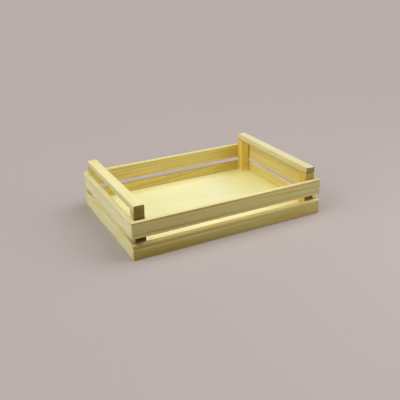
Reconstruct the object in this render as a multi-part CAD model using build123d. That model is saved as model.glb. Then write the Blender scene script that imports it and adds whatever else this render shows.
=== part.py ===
"""A low open crate of pale softwood with a raised handle bar along each short side.

Four square posts stand in the corners. Two slats run round the outside of the posts with an open gap
between them: the long slats pass the corners and cover the ends of the short ones. The lower front slat
comes from the edge of its board: it is a little lower, and keeps some of the tree's round along its outer
upper edge. The posts rise past the upper slats and carry the two handle bars, so that fingers fit between
bar and slat. A thin plywood floor, notched round the posts, lies on three flat cleats that are flush with
the underside of the lower slats. Small brads hold it all: through the slats into posts and cleats, down
through the bars into the posts, and down through the floor into the cleats.

Sizes are in millimetres. X runs along the long sides, Y along the short sides and Z up. The origin is on
the ground at the centre of the footprint.
"""

import os

from build123d import *

# The body, measured over the slats
crate_length = 400.0
crate_width = 280.0

# Slats, all sawn from one batten, and the open gap between the two courses
slat_thickness = 9.0
slat_height = 31.5
slat_gap = 10.0
slat_edge_radius = 1.0

# The tree's own round, left along the outer upper edge of the lower front slat, and the height that it cost
wane_radius = 4.8
wane_loss = 2.0

# Corner posts, which stand on the ground inside the slats
post_size = 20.0
post_edge_radius = 1.0

# Handle bars, as wide as the posts that they lie on
hand_gap = 14.0
handle_height = 12.0
handle_edge_radius = 1.6

# Floor panel and the flat cleats under it
floor_thickness = 4.0
floor_clearance = 0.5
floor_corner_radius = 0.8
cleat_width = 24.0
cleat_thickness = 8.5
cleat_edge_radius = 0.8

# Machine-driven brads of flattened wire, and the hole that each one makes
brad_wire_width = 1.3
brad_wire_thickness = 1.1
brad_head_width = 2.1
brad_head_height = 0.7
brad_head_taper = 0.4
brad_point_length = 1.6
brad_set = 0.3
hole_clearance = 0.05
drill_overrun = 1.0

# How far a brad bites into the piece behind the one that it holds
post_bite = 14.0
handle_bite = 20.0
cleat_bite = 13.0
floor_bite = 5.5

# Where the brads stand, as shares of the piece that they hold or enter
long_slat_height_shares = (0.24, 0.76)
short_slat_height_shares = (0.4, 0.6)
post_middle_share = 0.5
handle_brad_shares = ((0.3, 0.66), (0.7, 0.34))
cleat_middle_share = 0.5
end_cleat_length_shares = (0.28, 0.72)
middle_cleat_width_shares = (0.27, 0.73)
floor_cleat_length_shares = (0.12, 0.5, 0.88)

# Heights above the ground
upper_slat_bottom = slat_height + slat_gap
wall_top = upper_slat_bottom + slat_height
handle_bottom = wall_top + hand_gap
handle_top = handle_bottom + handle_height
floor_top = cleat_thickness + floor_thickness
course_bottoms = {"lower": 0.0, "upper": upper_slat_bottom}

# Plan distances from the centre
outer_x = crate_length / 2
outer_y = crate_width / 2
inner_x = outer_x - slat_thickness
inner_y = outer_y - slat_thickness
post_inner_x = inner_x - post_size
post_inner_y = inner_y - post_size

# The two ends and the two sides, by the sign of their place on X and on Y
end_names = {-1: "left", 1: "right"}
side_names = {-1: "front", 1: "back"}

# The one long slat that keeps some of the tree's round
waney_place = ("front", "lower")

# Which way the grain runs at a brad
along_x = (1, 0, 0)
along_y = (0, 1, 0)


def at_share(length, share):
    """How far from the middle of a length a share of it lies."""
    return length * (share - 0.5)


def batten(plane, width, height, length, radius):
    """A straight batten with eased long edges: its section lies centred on the plane, and it runs along
    the plane's normal."""
    return extrude(plane * RectangleRounded(width, height, radius), length / 2, both=True)


def long_slat(side, bottom):
    """A slat along a long side, which passes both corners."""
    centre = (0, side * (outer_y - slat_thickness / 2), bottom + slat_height / 2)
    return Pos(*centre) * batten(Plane.YZ, slat_thickness, slat_height, crate_length, slat_edge_radius)


def waney_slat(side, bottom):
    """A long slat sawn from the very edge of a board: the round of the tree is left along its outer upper
    edge, which makes it a little lower than the rest, and its other edges are eased."""
    height = slat_height - wane_loss
    centre = (0, side * (outer_y - slat_thickness / 2), bottom + height / 2)
    section = Rectangle(slat_thickness, height)
    eased = [corner for corner in section.vertices() if corner.X * side < 0 or corner.Y < 0]
    section = fillet(eased, slat_edge_radius)
    section = fillet(section.vertices().sort_by_distance((0, 0, 0))[-1], wane_radius)
    return Pos(*centre) * extrude(Plane.YZ * section, crate_length / 2, both=True)


def short_slat(end, bottom):
    """A slat along a short side, held between the two long slats."""
    centre = (end * (outer_x - slat_thickness / 2), 0, bottom + slat_height / 2)
    return Pos(*centre) * batten(Plane.XZ, slat_thickness, slat_height, 2 * inner_y, slat_edge_radius)


def post(end, side):
    """A corner post, from the ground to the underside of the handle bar."""
    centre = (end * (inner_x - post_size / 2), side * (inner_y - post_size / 2), handle_bottom / 2)
    return Pos(*centre) * batten(Plane.XY, post_size, post_size, handle_bottom, post_edge_radius)


def handle_bar(end):
    """A handle bar, whose ends and outer side are flush with the posts under it."""
    centre = (end * (inner_x - post_size / 2), 0, handle_bottom + handle_height / 2)
    return Pos(*centre) * batten(Plane.XZ, post_size, handle_height, 2 * inner_y, handle_edge_radius)


def cleat(centre_x, length):
    """A flat cleat across the crate, on the ground."""
    centre = (centre_x, 0, cleat_thickness / 2)
    return Pos(*centre) * batten(Plane.XZ, cleat_width, cleat_thickness, length, cleat_edge_radius)


def floor_panel():
    """The plywood floor, with a notch round each post."""
    half_x = inner_x - floor_clearance
    half_y = inner_y - floor_clearance
    notch_x = post_inner_x - floor_clearance
    notch_y = post_inner_y - floor_clearance
    cross = Rectangle(2 * half_x, 2 * notch_y) + Rectangle(2 * notch_x, 2 * half_y)
    outline = fillet(cross.vertices(), floor_corner_radius)
    return extrude(Pos(0, 0, cleat_thickness) * outline, floor_thickness)


def brad_blank(length, swell, rise):
    """A brad's wire with its head's top at the origin and its chisel point straight down. The head spreads
    along X. swell widens it all round and rise carries the head upwards, which makes it the brad's hole."""
    shank = brad_wire_width / 2 + swell
    head = brad_head_width / 2 + swell
    neck = brad_head_height + brad_head_taper
    tip = length + swell
    right = [(head, rise), (head, -brad_head_height), (shank, -neck), (shank, brad_point_length - tip)]
    left = [(-x, z) for x, z in reversed(right)]
    outline = make_face(Plane.XZ * Polyline(*right, (0, -tip), *left, close=True))
    return extrude(outline, brad_wire_thickness / 2 + swell, both=True)


class DrivenBrad:
    """One brad in its place, and its hole. It enters the wood at a point, in a direction, with its head
    along the grain, goes through a cover and bites into what lies behind. Its head is set just below the
    surface."""

    def __init__(self, entry, direction, grain, cover, bite):
        inward = Vector(*direction)
        length = cover - brad_set + bite
        head_top = Vector(*entry) + inward * brad_set
        seat = Plane(origin=head_top, x_dir=grain, z_dir=inward * -1).location
        self.solid = seat * brad_blank(length, 0.0, 0.0)
        self.hole = seat * brad_blank(length, hole_clearance, brad_set + drill_overrun)


def long_slat_brads(side):
    """Two brads through each end of both long slats of a side, into the posts."""
    x = inner_x - post_size * post_middle_share
    entries = [
        (end * x, side * outer_y, bottom + slat_height * share)
        for end in end_names
        for bottom in course_bottoms.values()
        for share in long_slat_height_shares
    ]
    return [DrivenBrad(entry, (0, -side, 0), along_x, slat_thickness, post_bite) for entry in entries]


def short_slat_brads(end):
    """Two brads through each end of both short slats of an end, into the posts."""
    y = inner_y - post_size * post_middle_share
    entries = [
        (end * outer_x, side * y, bottom + slat_height * share)
        for side in side_names
        for bottom in course_bottoms.values()
        for share in short_slat_height_shares
    ]
    return [DrivenBrad(entry, (-end, 0, 0), along_y, slat_thickness, post_bite) for entry in entries]


def handle_brads(end):
    """Two brads down through each end of a handle bar, set diagonally and clear of the slats' brads."""
    brads = []
    for side in side_names:
        for x_share, y_share in handle_brad_shares:
            x = end * (inner_x - post_size * x_share)
            y = side * (inner_y - post_size * y_share)
            brads.append(DrivenBrad((x, y, handle_top), (0, 0, -1), along_y, handle_height, handle_bite))
    return brads


def cleat_brads():
    """Brads through the lower slats into the edges of the end cleats and the ends of the middle cleat."""
    z = cleat_thickness * cleat_middle_share
    brads = []
    for end in end_names:
        for share in end_cleat_length_shares:
            y = at_share(2 * post_inner_y, share)
            entry = (end * outer_x, y, z)
            brads.append(DrivenBrad(entry, (-end, 0, 0), along_y, slat_thickness, cleat_bite))
    for side in side_names:
        for share in middle_cleat_width_shares:
            x = at_share(cleat_width, share)
            entry = (x, side * outer_y, z)
            brads.append(DrivenBrad(entry, (0, -side, 0), along_x, slat_thickness, cleat_bite))
    return brads


def floor_brads():
    """Brads down through the floor into the three cleats."""
    end_cleat_x = inner_x - cleat_width / 2
    rows = ((-end_cleat_x, post_inner_y), (0, inner_y), (end_cleat_x, post_inner_y))
    entries = [
        (x, at_share(2 * half_length, share), floor_top)
        for x, half_length in rows
        for share in floor_cleat_length_shares
    ]
    return [DrivenBrad(entry, (0, 0, -1), along_x, floor_thickness, floor_bite) for entry in entries]


def brad_groups():
    """Every brad, in groups named after what they hold."""
    groups = {f"brads_{name}_slats": long_slat_brads(side) for side, name in side_names.items()}
    groups.update({f"brads_{name}_slats": short_slat_brads(end) for end, name in end_names.items()})
    groups.update({f"brads_handle_{name}": handle_brads(end) for end, name in end_names.items()})
    groups["brads_cleats"] = cleat_brads()
    groups["brads_floor"] = floor_brads()
    return groups


def wooden_pieces():
    """Every wooden piece by its name, before any brad goes in."""
    pieces = {}
    for course, bottom in course_bottoms.items():
        for side, side_name in side_names.items():
            slat = waney_slat if (side_name, course) == waney_place else long_slat
            pieces[f"{side_name}_slat_{course}"] = slat(side, bottom)
        for end, end_name in end_names.items():
            pieces[f"{end_name}_slat_{course}"] = short_slat(end, bottom)
    for end, end_name in end_names.items():
        for side, side_name in side_names.items():
            pieces[f"post_{side_name}_{end_name}"] = post(end, side)
        pieces[f"handle_bar_{end_name}"] = handle_bar(end)
        pieces[f"floor_cleat_{end_name}"] = cleat(end * (inner_x - cleat_width / 2), 2 * post_inner_y)
    pieces["floor_cleat_middle"] = cleat(0, 2 * inner_y)
    pieces["floor_panel"] = floor_panel()
    return pieces


def drilled(piece, brads):
    """The piece with the holes of the brads that reach it."""
    box = piece.bounding_box()
    holes = [brad.hole for brad in brads if box.overlaps(brad.hole.bounding_box())]
    return piece - holes if holes else piece


def main():
    """Builds the crate and writes one file for each node."""
    os.makedirs("parts", exist_ok=True)
    groups = brad_groups()
    every_brad = [brad for brads in groups.values() for brad in brads]
    for name, piece in wooden_pieces().items():
        export_step(drilled(piece, every_brad), f"parts/{name}.step")
    for name, brads in groups.items():
        export_step(Compound([brad.solid for brad in brads]), f"parts/{name}.step")
    print("size", crate_length, crate_width, handle_top, "brads", len(every_brad))


main()
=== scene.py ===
"""A low slatted crate of pale softwood, dressed for its picture.

Every wooden piece is made again at the size and place of its node in the frame, as a batten with eased and
slightly worn edges, or as a notched plywood panel. Each has real holes where its brads go in. The grain is a
solid pattern of growth rings round a pith, so that faces, edges and sawn ends of a batten agree.

All lengths are in metres. X runs along the long sides, Y along the short sides and Z up.
"""

import logging
import math
from abc import ABC, abstractmethod
from dataclasses import dataclass, field
from enum import Enum

import bmesh
import bpy
from mathutils import Euler, Matrix, Vector


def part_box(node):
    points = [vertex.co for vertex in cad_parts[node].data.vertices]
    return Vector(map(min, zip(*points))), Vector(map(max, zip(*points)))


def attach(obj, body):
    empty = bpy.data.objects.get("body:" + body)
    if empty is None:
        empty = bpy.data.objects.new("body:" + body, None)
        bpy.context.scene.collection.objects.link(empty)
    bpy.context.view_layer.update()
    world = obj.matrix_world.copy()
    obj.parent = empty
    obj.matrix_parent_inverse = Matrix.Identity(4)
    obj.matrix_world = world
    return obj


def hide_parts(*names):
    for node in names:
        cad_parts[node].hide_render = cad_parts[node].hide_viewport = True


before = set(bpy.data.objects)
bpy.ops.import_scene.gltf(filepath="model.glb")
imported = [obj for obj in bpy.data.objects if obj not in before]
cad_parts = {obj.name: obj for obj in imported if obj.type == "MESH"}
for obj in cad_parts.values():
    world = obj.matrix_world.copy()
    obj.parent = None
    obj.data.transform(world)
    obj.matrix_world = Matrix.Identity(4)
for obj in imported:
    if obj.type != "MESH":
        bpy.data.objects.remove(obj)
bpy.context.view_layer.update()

MM = 0.001
BODY = "root"
Triple = tuple[float, float, float]
Colour = Triple
Pair = tuple[float, float]
Span = Pair
Socket = bpy.types.NodeSocket

HALF = 0.5
HALF_WAY: Triple = (HALF, HALF, HALF)

# What leaves the thickness of a batten out of a distance
FLAT: Triple = (1.0, 0.0, 1.0)

# Faces that meet at more than this angle have a crisp edge, which is eased in so many steps
CRISP_EDGE = math.radians(60)
EASING_STEPS = 2

# How near each other two corners of a brad are one corner, or lie on one level, and the thinnest wire
SAME_PLACE = 0.001 * MM
SAME_LEVEL = 0.05 * MM
THINNEST_WIRE = 0.1 * MM

log = logging.getLogger("crate")


class GrainAlong(Enum):
    """The way that a piece's grain runs, as the turn that takes a batten lying along X to it."""

    X = (0.0, 0.0, 0.0)
    Y = (0.0, 0.0, math.pi / 2)
    Z = (0.0, -math.pi / 2, 0.0)

    def turn(self) -> Matrix:
        """The rotation from a batten's own axes to the crate's."""
        return Euler(self.value).to_matrix()

    def local_size(self, size: Vector) -> Vector:
        """A box's size in the batten's own axes: length, then thickness, then width."""
        return Vector(abs(value) for value in self.turn().transposed() @ size)


@dataclass(frozen=True)
class Noise:
    """A random pattern: how many of its features fit a metre along X, Y and Z, what it adds to the seed of
    its piece, how many finer layers it has and how strong they are."""

    stretch: Triple
    seed: float = 0.0
    detail: float = 2.0
    roughness: float = 0.5


class Wiring:
    """Adds nodes to one tree and joins their sockets, so that a formula reads in order."""

    def __init__(self, tree: bpy.types.NodeTree) -> None:
        """Takes the tree that the nodes go into."""
        self.tree = tree

    def feed(self, socket: Socket, value: object) -> None:
        """Joins a socket to another, or gives it a constant.

        Args:
            socket: the input to feed.
            value: another node's output, or a constant.
        """
        if isinstance(value, bpy.types.NodeSocket):
            self.tree.links.new(value, socket)
        else:
            socket.default_value = value

    def node(self, kind: str, inputs: dict | None = None, **settings: object) -> bpy.types.Node:
        """Adds a node.

        Args:
            kind: the node's type name.
            inputs: what feeds its inputs, by name or number.
            settings: its other properties.

        Returns:
            The new node.
        """
        made = self.tree.nodes.new(kind)
        for name, value in settings.items():
            setattr(made, name, value)
        for name, value in (inputs or {}).items():
            self.feed(made.inputs[name], value)
        return made

    def math(self, operation: str, *values: object, clamp: bool = False) -> Socket:
        """The result of a sum on numbers."""
        made = self.node("ShaderNodeMath", dict(enumerate(values)), operation=operation, use_clamp=clamp)
        return made.outputs[0]

    def vector(self, operation: str, *values: object) -> Socket:
        """The result of a sum on vectors: a number for a length or a dot product, else a vector."""
        made = self.node("ShaderNodeVectorMath", dict(enumerate(values)), operation=operation)
        return made.outputs["Value" if operation in ("DOT_PRODUCT", "LENGTH", "DISTANCE") else "Vector"]

    def scaled(self, vector: object, factor: object) -> Socket:
        """A vector times a number."""
        made = self.node("ShaderNodeVectorMath", {0: vector, "Scale": factor}, operation="SCALE")
        return made.outputs["Vector"]

    def parts(self, vector: Socket) -> list[Socket]:
        """A vector's X, Y and Z."""
        return list(self.node("ShaderNodeSeparateXYZ", {0: vector}).outputs)

    def joined(self, x: object = 0.0, y: object = 0.0, z: object = 0.0) -> Socket:
        """A vector from its X, Y and Z."""
        return self.node("ShaderNodeCombineXYZ", {0: x, 1: y, 2: z}).outputs[0]

    def place(self) -> Socket:
        """Where the shaded point is, in the crate's axes."""
        return self.node("ShaderNodeTexCoord").outputs["Object"]

    def noise(self, place: Socket, noise: Noise, seed: object = 0.0) -> bpy.types.Node:
        """A random pattern, read at a place.

        Args:
            place: where it is read, in metres.
            noise: the pattern.
            seed: the seed of its piece, as a number or a socket.

        Returns:
            The noise node, for its value or its colour.
        """
        own_seed = self.math("ADD", seed, noise.seed) if isinstance(seed, Socket) else seed + noise.seed
        inputs = {
            "Vector": self.vector("MULTIPLY", place, noise.stretch), "W": own_seed, "Scale": 1.0,
            "Detail": noise.detail, "Roughness": noise.roughness,
        }
        return self.node("ShaderNodeTexNoise", inputs, noise_dimensions="4D")

    def level(self, place: Socket, noise: Noise, seed: object = 0.0) -> Socket:
        """A random pattern's value, from 0 to 1."""
        return self.noise(place, noise, seed).outputs["Fac"]

    def patches(self, place: Socket, noise: Noise, span: Span, seed: object = 0.0) -> Socket:
        """Soft-edged patches where a random pattern rises through a span of its levels, from 0 to 1."""
        return self.step(self.level(place, noise, seed), *span)

    def push(self, place: Socket, noise: Noise, seed: object, reach: float) -> Socket:
        """A random shift of up to half a reach each way along each axis."""
        shift = self.vector("SUBTRACT", self.noise(place, noise, seed).outputs["Color"], HALF_WAY)
        return self.scaled(shift, reach)

    def ramp(self, value: Socket, stops: tuple[Pair, ...], smooth: bool = False) -> Socket:
        """A curve through grey stops.

        Args:
            value: what is looked up, from 0 to 1.
            stops: pairs of place and level.
            smooth: whether the curve is rounded at its stops.

        Returns:
            The level at that value.
        """
        made = self.node("ShaderNodeValToRGB", {0: value})
        made.color_ramp.interpolation = "EASE" if smooth else "LINEAR"
        elements = made.color_ramp.elements
        while len(elements) < len(stops):
            elements.new(HALF)
        for element, (place, level) in zip(elements, stops):
            element.position = place
            element.color = (level, level, level, 1.0)
        return made.outputs["Color"]

    def step(self, value: object, low: float, high: float) -> Socket:
        """A soft step that rises from 0 at low to 1 at high."""
        inputs = {"Value": value, "From Min": low, "From Max": high}
        return self.node("ShaderNodeMapRange", inputs, interpolation_type="SMOOTHSTEP").outputs["Result"]

    def fall(self, value: object, low: float, high: float) -> Socket:
        """A soft step that falls from 1 at low to 0 at high."""
        return self.math("SUBTRACT", 1.0, self.step(value, low, high))

    def swing(self, level: Socket, depth: float, middle: float) -> Socket:
        """A number that goes through a depth about a middle as a level goes from 0 to 1."""
        return self.math("MULTIPLY_ADD", level, depth, middle - depth / 2)

    def grey(self, value: Socket) -> Socket:
        """A number as a grey."""
        return self.joined(value, value, value)

    def mix(self, factor: object, first: object, second: object, blend: str = "MIX") -> Socket:
        """One colour laid over another by a factor."""
        inputs = {0: factor, 6: opaque(first), 7: opaque(second)}
        return self.node("ShaderNodeMix", inputs, data_type="RGBA", blend_type=blend).outputs[2]

    def tinted(self, colour: object, tint: object, factor: object = 1.0) -> Socket:
        """A colour multiplied by a tint, as far as a factor says."""
        return self.mix(factor, colour, tint, "MULTIPLY")


def opaque(colour: object) -> object:
    """A written colour with its alpha, or a socket as it is."""
    return (*colour, 1.0) if isinstance(colour, tuple) else colour


def new_finish(name: str) -> tuple[bpy.types.Material, Wiring, bpy.types.Node]:
    """A fresh material.

    Args:
        name: the material's name.

    Returns:
        The material, its wiring and its surface shader.
    """
    made = bpy.data.materials.new(name)
    made.use_nodes = True
    return made, Wiring(made.node_tree), made.node_tree.nodes["Principled BSDF"]


def emboss(wiring: Wiring, surface: bpy.types.Node, height: Socket, relief: float) -> None:
    """Gives a surface a relief that is too fine for its mesh.

    Args:
        wiring: the material's wiring.
        surface: its surface shader.
        height: the relief, as a level.
        relief: how high a level of 1 stands, in metres.
    """
    bump = wiring.node("ShaderNodeBump", {"Strength": HALF, "Distance": relief, "Height": height})
    wiring.feed(surface.inputs["Normal"], bump.outputs["Normal"])


@dataclass(frozen=True)
class Knot:
    """A small round knot: its place along the batten and across its width, as shares of the batten from its
    middle, and its radius."""

    along_share: float
    width_share: float
    radius: float = 1.4 * MM


@dataclass(frozen=True)
class Mark:
    """A soft-edged mark: a bold growth line, a pale band or a darker patch in the wood, or painted light and
    shade, such as a painted highlight, or painted shade in a gap, in a corner or under a part.

    place is its middle, and reach its half size, along the batten and across its thickness and width, all
    as shares of the batten. It drifts across the width by slope on its way along. tint multiplies the wood's
    colour at its middle.
    """

    place: Triple
    reach: Triple
    tint: Colour
    slope: float = 0.0


# A share that reaches past the whole of a batten, so that its mark goes right through
THROUGH = 20.0

# How a mark fades out from its middle, and how ragged its edge is
MARK_FADE: Span = (0.15, 1.5)
MARK_NOISE = Noise((10.0, 60.0, 60.0), 9.6)
MARK_RAGGED = 1.1 * MM


def line(along: float, width: float, length: float, thickness: float, tint: Colour,
         slope: float = 0.0) -> Mark:
    """A mark that goes right through the batten's thickness.

    Args:
        along: its middle along the batten, as a share from the batten's middle.
        width: its middle across the width, the same.
        length: half its length, as a share of the batten's.
        thickness: half its own width, as a share of the batten's.
        tint: what multiplies the wood's colour.
        slope: how it drifts across the width.

    Returns:
        The mark.
    """
    return Mark((along, 0.0, width), (length, THROUGH, thickness), tint, slope)


@dataclass(frozen=True)
class ShadedPiece:
    """A piece as its finish sees it.

    wiring is its material's. own is the shaded point in the piece's own axes, from its middle, and size is
    the piece's size in the same axes. seed sets its random patterns apart from other pieces'.
    """

    wiring: Wiring
    own: Socket
    size: Vector
    seed: float

    def level(self, noise: Noise) -> Socket:
        """A random pattern's value on the piece, from 0 to 1."""
        return self.wiring.level(self.own, noise, self.seed)

    def patches(self, noise: Noise, span: Span) -> Socket:
        """Soft-edged patches of a random pattern on the piece, from 0 to 1."""
        return self.wiring.patches(self.own, noise, span, self.seed)

    def push(self, noise: Noise, reach: float) -> Socket:
        """A random shift on the piece, of up to half a reach each way along each axis."""
        return self.wiring.push(self.own, noise, self.seed, reach)

    def painted(self, marks: tuple[Mark, ...], colour: Socket) -> Socket:
        """Lays marks over a colour, each fading out from its middle with a slightly ragged edge.

        Args:
            marks: the marks.
            colour: what they are laid over.

        Returns:
            The marked colour.
        """
        if not marks:
            return colour
        wiring = self.wiring
        loose = wiring.vector("ADD", self.own, self.push(MARK_NOISE, MARK_RAGGED))
        run = wiring.parts(self.own)[0]
        for mark in marks:
            middle = Vector(share * length for share, length in zip(mark.place, self.size))
            drift = wiring.math("MULTIPLY", wiring.math("SUBTRACT", run, middle.x), -mark.slope)
            offset = wiring.vector("SUBTRACT", loose, tuple(middle))
            offset = wiring.vector("ADD", offset, wiring.joined(z=drift))
            shrink = tuple(1.0 / (share * length) for share, length in zip(mark.reach, self.size))
            far = wiring.vector("LENGTH", wiring.vector("MULTIPLY", offset, shrink))
            colour = wiring.tinted(colour, mark.tint, wiring.fall(far, *MARK_FADE))
        return colour


@dataclass(frozen=True)
class Grain:
    """How a batten was sawn from its log, and how its wood differs from the rest.

    across and deep place the pith from the batten's middle, along its thickness and its width. lean_across
    and lean_deep are the slopes of the pith along the batten. ring is the width of a year's growth, and
    first_year is how far into a year the pith starts. figure is how strongly the years show. tone multiplies
    the wood's colour, and drift is how much lighter the batten gets from its first end to its last.
    """

    across: float
    deep: float
    lean_across: float = 0.0
    lean_deep: float = 0.0
    ring: float = 2.6 * MM
    first_year: float = 0.0
    figure: float = 1.0
    seed: float = 0.0
    tone: Colour = (1.0, 1.0, 1.0)
    end_tone: Colour = (0.92, 0.90, 0.82)
    drift: float = 0.0
    knots: tuple[Knot, ...] = ()
    marks: tuple[Mark, ...] = ()


@dataclass(frozen=True)
class Softwood:
    """Bare sawn spruce: pale early wood, darker late wood, fine fibres, resin canals, and the faint arcs
    that a round saw leaves across the grain.

    A noise is a random pattern, and a span holds the two levels between which something comes in. A depth
    is how far something changes the colour, and a height how far it changes the relief.
    """

    early: Colour = (0.804, 0.714, 0.402)
    late: Colour = (0.554, 0.402, 0.147)
    warm: Colour = (0.960, 0.860, 0.720)
    rosy: Colour = (1.020, 0.975, 0.975)
    olive: Colour = (0.985, 1.020, 0.950)
    knot: Colour = (0.300, 0.165, 0.055)
    canal: Colour = (0.500, 0.357, 0.187)

    # The years' growth: late wood through a year, strong and weak years, and the rings' wandering
    year: tuple[Pair, ...] = ((0, 0.05), (0.45, 0.12), (0.74, 0.45), (0.9, 1), (0.96, 0.8), (1, 0.05))
    contrast: float = 0.75
    year_spread: float = 0.6
    width_spread: float = 1.2
    width_pace: float = 0.35
    wander: float = 9.0 * MM
    wander_noise: Noise = Noise((2.4, 9.0, 9.0), 0.0, 1.0)
    ripple: float = 1.1 * MM
    ripple_noise: Noise = Noise((14.0, 60.0, 60.0), 1.3)

    # Slow changes of tone and hue, resin canals and fibres
    warm_noise: Noise = Noise((3.0, 26.0, 26.0), 7.9)
    warm_span: Span = (0.42, 0.72)
    hue_noise: Noise = Noise((24.0, 60.0, 60.0), 12.1, 1.5)
    hue_span: Span = (0.32, 0.68)
    canal_noise: Noise = Noise((70.0, 1700.0, 1700.0), 6.3, 1.0)
    canal_span: Span = (0.66, 0.78)
    canal_depth: float = 0.35
    fibre_noise: Noise = Noise((22.0, 900.0, 900.0), 3.1, 3.0, 0.6)
    fibre_depth: float = 0.30
    hair_noise: Noise = Noise((90.0, 3200.0, 3200.0), 5.7)
    hair_depth: float = 0.12

    # The saw's arcs, about a hub beside the batten
    saw_radius: float = 160.0 * MM
    saw_hub: float = 30.0 * MM
    saw_pitch: float = 2.3 * MM
    saw_noise: Noise = Noise((18.0, 60.0, 60.0), 4.4, 1.0)
    saw_span: Span = (0.45, 0.7)
    saw_depth: float = 0.05

    # Knots, and the years that bend round them
    knot_shape: Triple = (0.6, 0.0, 1.0)
    knot_noise: Noise = Noise((400.0, 100.0, 400.0), 2.9)
    knot_ragged: float = 0.6
    knot_span: Span = (0.6, 1.25)
    swirl_span: Span = (0.5, 5.0)
    swirl_years: float = 1.4

    # Sawn ends, with open pores
    end_span: Span = (0.45, 0.9)
    pore_noise: Noise = Noise((1500.0, 1500.0, 1500.0), 8.8, 3.0, 0.7)
    pore_depth: float = 0.5
    pore_level: float = 0.97

    # Dullness and relief
    roughness: float = 0.60
    fibre_roughness: float = 0.2
    end_roughness: float = 0.2
    gloss: float = 0.3
    relief: float = 0.06 * MM
    late_height: float = 0.35
    hair_height: float = 0.5
    saw_height: float = 0.8

    def material(self, name: str, centre: Vector, size: Vector, along: GrainAlong,
                 grain: Grain) -> bpy.types.Material:
        """The finish of one batten.

        Args:
            name: the material's name.
            centre: the batten's middle.
            size: its length, thickness and width.
            along: the way that its grain runs.
            grain: how it was sawn.

        Returns:
            The material.
        """
        made, wiring, surface = new_finish(name)
        inputs = {"Vector": wiring.place(), "Location": tuple(centre), "Rotation": along.value}
        own = wiring.node("ShaderNodeMapping", inputs, vector_type="TEXTURE").outputs["Vector"]
        wood = ShadedPiece(wiring, own, size, grain.seed)
        hearts, bend = self._knots(wood, grain.knots)
        late = self._late_wood(wood, grain, bend)
        fibre, hair = wood.level(self.fibre_noise), wood.level(self.hair_noise)
        saw = self._saw_marks(wood)
        end = self._end_grain(wiring, along)
        colour = wood.painted(grain.marks, self._colour(wood, grain, late, fibre, hair))
        colour = wiring.mix(wiring.math("MULTIPLY", saw, self.saw_depth), colour, self.canal)
        colour = wiring.mix(hearts, colour, self.knot)
        pores = wiring.swing(wood.level(self.pore_noise), self.pore_depth, self.pore_level)
        sawn = wiring.tinted(wiring.tinted(colour, grain.end_tone), wiring.grey(pores))
        wiring.feed(surface.inputs["Base Color"], wiring.mix(end, colour, sawn))
        rough = wiring.swing(fibre, self.fibre_roughness, self.roughness)
        rough = wiring.math("MULTIPLY_ADD", end, self.end_roughness, rough)
        wiring.feed(surface.inputs["Roughness"], rough)
        surface.inputs["Specular IOR Level"].default_value = self.gloss
        height = wiring.math("MULTIPLY_ADD", late, self.late_height, fibre)
        height = wiring.math("MULTIPLY_ADD", hair, self.hair_height, height)
        height = wiring.math("MULTIPLY_ADD", saw, self.saw_height, height)
        emboss(wiring, surface, height, self.relief)
        return made

    def _knots(self, wood: ShadedPiece, knots: tuple[Knot, ...]) -> tuple[object, object]:
        """Where the knots are.

        Args:
            wood: the batten.
            knots: its knots.

        Returns:
            How much of a knot's dark heart is at the point, from 0 to 1, and how many years the rings bend.
        """
        wiring = wood.wiring
        hearts, bend = 0.0, 0.0
        for knot in knots:
            middle = (knot.along_share * wood.size.x, 0.0, knot.width_share * wood.size.z)
            offset = wiring.vector("MULTIPLY", wiring.vector("SUBTRACT", wood.own, middle), self.knot_shape)
            reach = wiring.math("DIVIDE", wiring.vector("LENGTH", offset), knot.radius)
            edge = wiring.swing(wood.level(self.knot_noise), self.knot_ragged, 0.0)
            reach = wiring.math("ADD", reach, edge)
            hearts = wiring.math("MAXIMUM", wiring.fall(reach, *self.knot_span), hearts)
            swirl = wiring.fall(reach, *self.swirl_span)
            bend = wiring.math("MULTIPLY_ADD", swirl, self.swirl_years, bend)
        return hearts, bend

    def _late_wood(self, wood: ShadedPiece, grain: Grain, bend: object) -> Socket:
        """How much late wood there is, by the distance from a wandering pith.

        Args:
            wood: the batten.
            grain: how it was sawn.
            bend: how many years the rings bend round knots.

        Returns:
            The late wood, from 0 to 1.
        """
        wiring = wood.wiring
        wander = wood.push(self.wander_noise, self.wander)
        ripple = wood.push(self.ripple_noise, self.ripple)
        moved = wiring.vector("ADD", wood.own, wiring.vector("ADD", wander, ripple))
        run, across, deep = wiring.parts(moved)
        across = wiring.math("MULTIPLY_ADD", run, grain.lean_across, across)
        deep = wiring.math("MULTIPLY_ADD", run, grain.lean_deep, deep)
        across = wiring.math("ADD", across, -grain.across)
        deep = wiring.math("ADD", deep, -grain.deep)
        years = wiring.math("DIVIDE", wiring.vector("LENGTH", wiring.joined(y=across, z=deep)), grain.ring)
        inputs = {"W": years, "Scale": self.width_pace, "Detail": 0.0}
        uneven = wiring.node("ShaderNodeTexNoise", inputs, noise_dimensions="1D").outputs["Fac"]
        years = wiring.math("MULTIPLY_ADD", uneven, self.width_spread, years)
        years = wiring.math("ADD", wiring.math("ADD", years, grain.first_year), bend)
        band = wiring.ramp(wiring.math("FRACT", years), self.year)
        inputs = {"W": wiring.math("FLOOR", years)}
        year = wiring.node("ShaderNodeTexWhiteNoise", inputs, noise_dimensions="1D").outputs["Value"]
        strength = wiring.math("MULTIPLY_ADD", year, self.year_spread, 1.0 - self.year_spread)
        return wiring.math("MULTIPLY", band, strength)

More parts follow.
